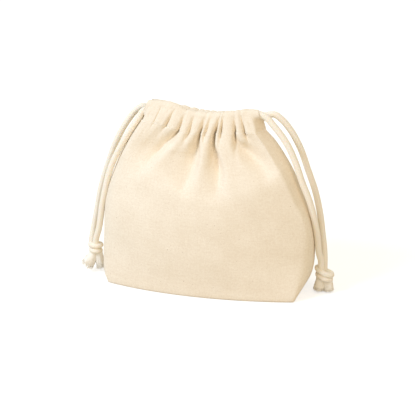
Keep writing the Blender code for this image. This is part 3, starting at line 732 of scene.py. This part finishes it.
def cord_material():
    """Soft braided cotton: strands that slant both ways and pass over each other, under a fine nap of fibres, with
    painted shade in the braid's grooves.
    """
    material, tree, shader = nodes_of("cord_cotton")
    uv, around, along = split_uv(tree)
    op = partial(math_node, tree)
    place = op("MULTIPLY", around, BRAID_COLUMNS)
    column = op("ROUND", place)
    off = op("SUBTRACT", place, column)
    slant = op("MULTIPLY", off, op("COSINE", op("MULTIPLY", column, math.pi)))
    strand = op("ADD", op("DIVIDE", along, BRAID_PITCH), op("MULTIPLY", slant, 1.1))
    strand_crown = crown(tree, op("SUBTRACT", strand, op("ROUND", strand)))
    braid = weighted(tree, (strand_crown, 0.55), (crown(tree, off), 0.45))
    fibres = stretched_noise(tree, uv, (75, 700), 3, 0.6)
    nap = stretched_noise(tree, uv, (40, 1900), 2)
    # The tone is the fibres' own random tone, plus painted shade from the braid: lighter on the strands' crowns,
    # darker in the grooves between them.
    tone = weighted(tree, (braid, 0.36), (fibres, 0.8))
    colour = mix_colour(tree, ramp(tree, tone, 0.30, 0.84), (0.870, 0.765, 0.600, 1), (0.976, 0.905, 0.775, 1))
    height = weighted(tree, (braid, 0.9), (fibres, 0.6), (nap, 0.3))
    bumped(tree, shader, height, 0.00030, 0.7)
    cotton_shader(shader, colour, 0.15)
    return material


def fray_material():
    """Loose cotton fibres at a cord's cut end."""
    material, tree, shader = nodes_of("cord_fray")
    uv, _, _ = split_uv(tree)
    streaks = stretched_noise(tree, uv, (60, 260), 3, 0.6)
    clumps = stretched_noise(tree, uv, (9, 420), 2)
    tone = weighted(tree, (streaks, 0.6), (clumps, 0.4))
    # Paler than the cord: loose fibres are paler, and this colour is painted paler still, as painted light against
    # the shade that the bag and the fibres themselves cast on the tails.
    colour = mix_colour(tree, ramp(tree, tone, 0.30, 0.68), (0.945, 0.870, 0.740, 1), (0.995, 0.960, 0.870, 1))
    bumped(tree, shader, tone, 0.00020, 0.6)
    cotton_shader(shader, colour, 0.0)
    return material


canvas = canvas_material()
cotton = cord_material()
fray = fray_material()
pouch, panels = build_pouch(canvas)


# -------- cords

# The cords' tubes are a little fuller than the cord's diameter, as the braid's hollows don't reach into the mesh
TUBE_RADIUS, TIED_RADIUS = CORD / 2 * 1.08, CORD / 2 * 1.07
RIGHT_KNOT, LEFT_KNOT = (0.1195, 0.0005, 0.0208), (-0.1215, -0.0105, 0.0215)
# Above a knot's middle, where its strands come in, and how deep they run in
ENTRY_TOP, ENTRY_END = 0.00725, 0.0036
# Across and depth of the two strands at the knot, then the strands' routes from the casing down to it
RIGHT_ENTRIES = ((-0.0032, -0.0030), (-0.0008, 0.0030))
LEFT_ENTRIES = ((0.0022, -0.0020), (-0.0036, 0.0020))
RIGHT_FRONT = np.array((
    (60.3, -6.4, 179.2), (65.2, -7.1, 174.1), (70.5, -7.7, 168.4), (79.7, -8.5, 156.5), (88.5, -9, 139),
    (96.2, -9.5, 118.5), (104, -9, 99), (109.5, -7.5, 78), (112.8, -6, 59), (114.2, -4.5, 44),
)) / MM
RIGHT_BACK = np.array((
    (64.5, 6.3, 180.5), (71, 7, 176), (79, 8.5, 166.5), (89, 9, 149.5), (98.7, 8.5, 125), (106.5, 8, 104),
    (112, 7, 82), (115.5, 5.8, 60), (117.8, 4.5, 44),
)) / MM
LEFT_FRONT = np.array((
    (-67.6, -6.2, 177.2), (-71.8, -7.2, 170.5), (-81.4, -9, 155.5), (-92.2, -10.5, 136.5), (-100, -11.5, 119.5),
    (-106, -12.5, 98.5), (-110.8, -13.5, 75.5), (-114.5, -14, 52),
)) / MM
LEFT_BACK = np.array((
    (-69, 6, 179.5), (-77, 6, 175.7), (-86.5, 5.5, 164.3), (-98.5, 3.5, 143), (-108, 0.5, 116.5),
    (-114.5, -2.5, 94), (-120, -5, 65), (-123.2, -6.5, 48),
)) / MM


def smooth_line(points, spacing):
    lengths = distances(points)
    count = max(2, round(lengths[-1] / spacing))
    return curve(np.column_stack([lengths, points]), np.linspace(0, lengths[-1], count + 1))


def frames_along(path):
    """Steady cross directions along a path, so that a tube on it doesn't twist."""
    tangents = unit(np.gradient(path, axis=0))
    side = np.cross(tangents[0], (0.0, 1.0, 0.0) if abs(tangents[0][1]) < 0.9 else (1.0, 0.0, 0.0))
    sides = []
    for tangent in tangents:
        side = side - tangent * np.dot(side, tangent)
        side /= np.linalg.norm(side)
        sides.append(side)
    sides = np.array(sides)
    return sides, np.cross(tangents, sides)


def join_rings(mesh, uv, rings, along, wrap=1.0):
    """Faces from ring to ring, with the cloth coordinate going around and along, and the caps at both ends."""
    around = len(rings[0])
    for k in range(len(rings) - 1):
        for j in range(around):
            after = (j + 1) % around
            face = mesh.faces.new((rings[k][j], rings[k][after], rings[k + 1][after], rings[k + 1][j]))
            for loop, (a, b) in zip(face.loops, ((j, k), (j + 1, k), (j + 1, k + 1), (j, k + 1))):
                loop[uv].uv = (wrap * a / around, along[b])
    return [mesh.faces.new(ring) for ring in (rings[0][::-1], rings[-1])]


def tube(mesh, uv, path, radii, around=16, offset=0.0, wrap=1.0, frames=None):
    """A round tube along a path. The cloth coordinate counts metres along it, from an offset."""
    radii = np.broadcast_to(radii, len(path))
    first, second = frames or frames_along(path)
    arms = [(math.cos(turn), math.sin(turn)) for turn in (2 * math.pi * j / around for j in range(around))]
    rings = [[mesh.verts.new(point + (first[k] * x + second[k] * y) * radii[k]) for x, y in arms]
             for k, point in enumerate(path)]
    for face in join_rings(mesh, uv, rings, distances(path) + offset, wrap):
        for loop in face.loops:
            loop[uv].uv = (0.5, 0.0)
            loop.edge.smooth = False


def piece_from(mesh, name, material):
    bmesh.ops.recalc_face_normals(mesh, faces=mesh.faces)
    return object_from(mesh, name, material)


# How much of the cotton's pattern goes around a thin fibre
FIBRE_WRAP = 0.03
# Cloth left free at both ends of a seam, and how far a stitch's points stand out, in half thicknesses
STITCH_MARGIN = 0.002
STITCH_LIFT = (-1.0, 0.1, 0.55, 0.65, 0.55, 0.1, -1.0)


def add_stitches():
    """Sewing thread along the foot of both casings: short stitches that lie on the cloth and dive into it."""
    mesh, uv = new_mesh()
    for front, (rows, _, stitched) in panels.items():
        row = rows[stitched][2:-2]
        along = np.gradient(row, axis=0)
        up = (rows[stitched + 2] - rows[stitched - 2])[2:-2]
        out = unit(np.cross(along, up) * (1 if front else -1))
        lengths = distances(row)
        start = STITCH_MARGIN
        while start + STITCH < lengths[-1] - STITCH_MARGIN:
            places = start + STITCH * np.linspace(0, 1, len(STITCH_LIFT))
            spots, ways = (np.stack([np.interp(places, lengths, values[:, axis]) for axis in range(3)], axis=1)
                           for values in (row, out))
            path = spots + ways * THREAD * np.array(STITCH_LIFT)[:, None]
            tube(mesh, uv, path, THREAD, around=8, offset=start, wrap=FIBRE_WRAP)
            start += STITCH + STITCH_GAP
    return piece_from(mesh, "casing_stitches", fray)


def in_casing(front, height, side):
    """A cord's points through one casing, from the side that it leaves by to just short of the other."""
    shares = np.linspace(0, 1 - 1.35 * HEM_END, 9)
    shares = 1 - shares if side > 0 else shares
    foot, _ = plan(front, shares, 1.0)
    lean = lean_of(front, foot) * height / CASING
    return placed(front, foot + lean, tunnel_centre(shares), HEIGHT + rim_rise(front, shares) + height)


def far_turn(start, end, side, height):
    """A cord's turn from one casing to the other, flatter than a half circle."""
    seam = HEIGHT + float(rim_rise(True, 0.0 if side < 0 else 1.0)) + height - 0.0014
    middle, radius = (start + end) / 2, np.linalg.norm(end - start) / 2
    bulge = np.array((side * radius * 0.7, 0.0, seam - middle[2]))
    return [middle + (start - middle) * math.cos(turn) + bulge * math.sin(turn)
            for turn in np.radians((36, 72, 108, 144))]


def knot_entry(spot, entry):
    across, deep = entry
    return np.array(((across, deep, ENTRY_TOP + CORD), (across, deep, ENTRY_TOP),
                     (across * 0.9, deep * 0.9, ENTRY_END))) + spot


def build_cord(name, height, side, spot, entries, front_strand, back_strand):
    """A cord in three pieces: the stretch inside the casings, and the two strands that hang out of them."""
    front, back = in_casing(True, height, side), in_casing(False, height, side)
    middle = [*front, *far_turn(front[-1], back[-1], -side, height), *back[::-1]]
    ends = [knot_entry(spot, entry) for entry in entries]
    whole = smooth_line([*ends[0][::-1], *front_strand[::-1], *middle, *back_strand, *ends[1]], 0.0018)
    gone = [int(np.argmin(np.linalg.norm(whole - end, axis=1))) for end in (front[0], back[0])]
    crosses, lengths = frames_along(whole), distances(whole)
    pieces = []
    for label, start, stop in (("cord_in_casing", gone[0], gone[1] + 1), ("front_strand", 0, gone[0] + 1),
                               ("back_strand", gone[1], len(whole))):
        mesh, uv = new_mesh()
        tube(mesh, uv, whole[start:stop], TUBE_RADIUS, offset=lengths[start],
             frames=[cross[start:stop] for cross in crosses])
        pieces.append(piece_from(mesh, f"{name}_{label}", cotton))
    strands = [(pieces[1], whole[:gone[0] + 1][::-1]), (pieces[2], whole[gone[1]:])]
    for piece in pieces:
        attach(piece, "root")
        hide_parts(f"{name}_drawcord")
    return strands


def knot_turn(mesh, uv, spot, radius_x, radius_y, height, slope, start, end, thickness):
    """A turn of cord around the knot. Its ends dive into the knot's middle."""
    t = np.linspace(0, 1, 41)
    angle = np.radians(start + (end - start) * t)
    reach = 0.35 + 0.65 * ease(np.minimum(t, 1 - t) / 0.13)
    x, y = radius_x * np.cos(angle) * reach, radius_y * np.sin(angle) * reach
    path = spot + np.stack([x, y, height - x * math.tan(math.radians(slope))], axis=1)
    tube(mesh, uv, smooth_line(path, 0.0009), thickness)


# Loose fibres of a tail, and the lowest that they come to the floor
FIBRES, FIBRE_FLOOR = 260, 0.0008


def frayed_tail(mesh, uv, top, splay, curl, forward, length, top_width, wide, seed):
    """A cord's cut end as a soft brush: a rough closed tube, with loose fibres on it and in it. splay is how far it
    leans to the left at its top and curl how much further at its end."""
    rng = random.Random(seed)
    line = [np.array(top, float)]
    steps = 14
    for k in range(steps):
        tilt, nod = math.radians(splay + curl * k / steps), math.radians(forward)
        way = Vector((-math.sin(tilt), -math.sin(nod), -math.cos(tilt))).normalized()
        line.append(line[-1] + np.array(way) * length / steps)
    line = np.array(line)
    radii = (top_width + (wide - top_width) * ease(np.linspace(0, 1, steps + 1) * 1.2)) / 2
    first, second = frames_along(line)

    def at(share, turn, reach):
        """A point at a share of the tail's length, a turn around it and a reach of its radius."""
        k = min(int(share * steps), steps - 1)
        t = share * steps - k
        centre, right, deep, radius = (row[k] * (1 - t) + row[k + 1] * t for row in (line, first, second, radii))
        return centre + (right * math.cos(turn) + deep * math.sin(turn) * 0.86) * radius * reach

    lobes, rings, brush = 24, 22, 0.90
    grid = []
    for r in range(rings + 1):
        share = brush * r / rings
        cap = math.sqrt(max(0.0, 1 - (max(0.0, r / rings - 0.72) / 0.2801) ** 2))
        ring = []
        for j in range(lobes):
            turn = 2 * math.pi * j / lobes
            lumps = [noise.noise(Vector((math.cos(turn) * size, math.sin(turn) * size, share * stretch + seed)))
                     for size, stretch in ((1.9, 1.3), (4.5, 2.2))]
            lump = 0.16 * (lumps[0] + 0.6 * lumps[1]) * min(1.0, share * 3)
            ring.append(mesh.verts.new(at(share, turn, (0.95 + lump) * max(cap, 0.06))))
        grid.append(ring)
    join_rings(mesh, uv, grid, [r / rings * length * brush for r in range(rings + 1)])
    for _ in range(FIBRES):
        turn, reach = rng.random() * 2 * math.pi, 0.25 + 0.75 * math.sqrt(rng.random())
        start = 0.20 + 0.62 * rng.random()
        stop = min(start + 0.22 + 0.24 * rng.random(), 0.94 + 0.08 * rng.random())
        drift = rng.uniform(-0.35, 0.35)
        points = np.array([at(start, turn, reach * 0.80),
                           at((start + stop) / 2, turn + drift * 0.4, reach * (0.97 + 0.05 * rng.random())),
                           at(stop, turn + drift, reach * (0.95 + 0.14 * rng.random()))])
        points[:, 2] = np.maximum(points[:, 2], FIBRE_FLOOR)
        path = smooth_line(points, 0.0014)
        thick = rng.uniform(0.00020, 0.00034) * (1 - 0.5 * np.linspace(0, 1, len(path)) ** 2)
        tube(mesh, uv, path, thick, around=5, offset=rng.random(), wrap=FIBRE_WRAP)


# The two turns of a knot: half widths across and deep, in half widths of the knot, height over its middle, share of
# the knot's slope, and the angles where the turn starts and ends. Then how far below the middle the tails start.
KNOT_TURNS = ((1.00, 0.82, 0.0036, 1.00, -215, 60), (0.86, 0.76, -0.0022, 0.85, -230, 40))
TAIL_TOP = -0.0030


def build_knot(name, spot, width, entries, slope, shift, turn_size, tails, seed):
    """A knot in two pieces: both strands with the turns around them, and the frayed tails. shift is from the knot of
    the frame to the tied turns, and turn_size the half thickness of a turn as a share of the cord's diameter."""
    mesh, uv = new_mesh()
    tied_at = np.array(spot) + shift
    thick = CORD * turn_size
    half = width / 2 - thick * 0.95
    for (across, deep), tail_side in zip(entries, (-1, 1)):
        path = smooth_line([
            np.array(spot) + (across * 0.9, deep * 0.9, 0.0040),
            tied_at + (tail_side * 0.0020, deep * 0.5, 0.0),
            tied_at + (tail_side * 0.0026, deep * 0.2, TAIL_TOP),
        ], 0.001)
        tube(mesh, uv, path, TIED_RADIUS)
    for wide, deep, height, tilt, start, end in KNOT_TURNS:
        knot_turn(mesh, uv, tied_at, half * wide, half * deep, height, slope * tilt, start, end, thick)
    tied = piece_from(mesh, f"{name}_tied", cotton)
    mesh, uv = new_mesh()
    for number, (across, *tail) in enumerate(tails):
        frayed_tail(mesh, uv, tied_at + (across, 0.0, TAIL_TOP), *tail, seed + number)
    frayed = piece_from(mesh, f"{name}_frayed_ends", fray)
    for piece in (tied, frayed):
        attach(piece, "root")
        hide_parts(name)
    return tied, frayed


# The tails of each knot: across at the top, the lean to the left there and what the end adds to it, the lean to the
# front, length, width at the top and at the end
RIGHT_TAILS = ((-0.0037, 4, 8, 4, 0.0154, 0.0094, 0.0110), (0.0039, 0, -8, -4, 0.0153, 0.0092, 0.0104))
LEFT_TAILS = ((-0.0026, 12, 28, 4, 0.0204, 0.0086, 0.0140), (0.0034, -1, -6, -3, 0.0206, 0.0078, 0.0092))

right_strands = build_cord("right", UPPER_CORD, 1, RIGHT_KNOT, RIGHT_ENTRIES, RIGHT_FRONT, RIGHT_BACK)
left_strands = build_cord("left", LOWER_CORD, -1, LEFT_KNOT, LEFT_ENTRIES, LEFT_FRONT, LEFT_BACK)
right_pieces = build_knot("right_knot", RIGHT_KNOT, 0.0200, RIGHT_ENTRIES, 25, (0.0, 0.0, -0.0016), 0.49,
                          RIGHT_TAILS, 11)
left_pieces = build_knot("left_knot", LEFT_KNOT, 0.0160, LEFT_ENTRIES, 3, (0.0012, 0.0, 0.0058), 0.50, LEFT_TAILS, 23)
stitches = add_stitches()
for piece in (pouch, stitches):
    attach(piece, "root")
    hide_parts("pouch_body")


# -------- floor and light

# The point that the lamps look at
LIT = Vector((0, 0, 0.08))


def seen_directly(tree):
    """1 for rays from the camera and for gloss and glass, which see the floor and the world as white."""
    path = tree.nodes.new("ShaderNodeLightPath")
    seen = math_node(tree, "MAXIMUM", path.outputs["Is Camera Ray"], path.outputs["Is Glossy Ray"])
    return math_node(tree, "MAXIMUM", seen, path.outputs["Is Transmission Ray"])


def stage_floor():
    bpy.ops.mesh.primitive_plane_add(size=14)
    floor = bpy.context.object
    floor.name = "floor"
    material, tree, shader = nodes_of("floor_white")
    glow = math_node(tree, "MULTIPLY", seen_directly(tree), 0.66)
    fill(shader, Base_Color=(0.62, 0.58, 0.50, 1), Roughness=1.0, Specular_IOR_Level=0.0,
         Emission_Color=(0.93, 0.96, 1.0, 1), Emission_Strength=glow)
    floor.data.materials.append(material)


def area_light(name, spot, size, power, colour):
    data = bpy.data.lights.new(name, "AREA")
    data.shape, data.size, data.energy, data.color = "DISK", size, power, colour
    light = new_object(name, data)
    light.location = spot
    light.rotation_euler = (LIT - Vector(spot)).to_track_quat("-Z", "Y").to_euler()


def light_scene():
    world = scene.world = bpy.data.worlds.new("studio")
    world.use_nodes = True
    tree = world.node_tree
    seen = seen_directly(tree)
    strength = math_node(tree, "ADD", math_node(tree, "MULTIPLY", seen, 0.32), 0.68)
    colour = mix_colour(tree, seen, (1.0, 0.955, 0.82, 1), (1, 1, 1, 1))
    fill(tree.nodes["Background"], Strength=strength, Color=colour)
    area_light("key", (-1.5, -1.5, 1.9), 0.9, 37, (0.86, 1.0, 1.32))
    area_light("fill", (1.6, -1.8, 0.9), 1.4, 10, (1.15, 0.87, 0.66))


stage_floor()
light_scene()
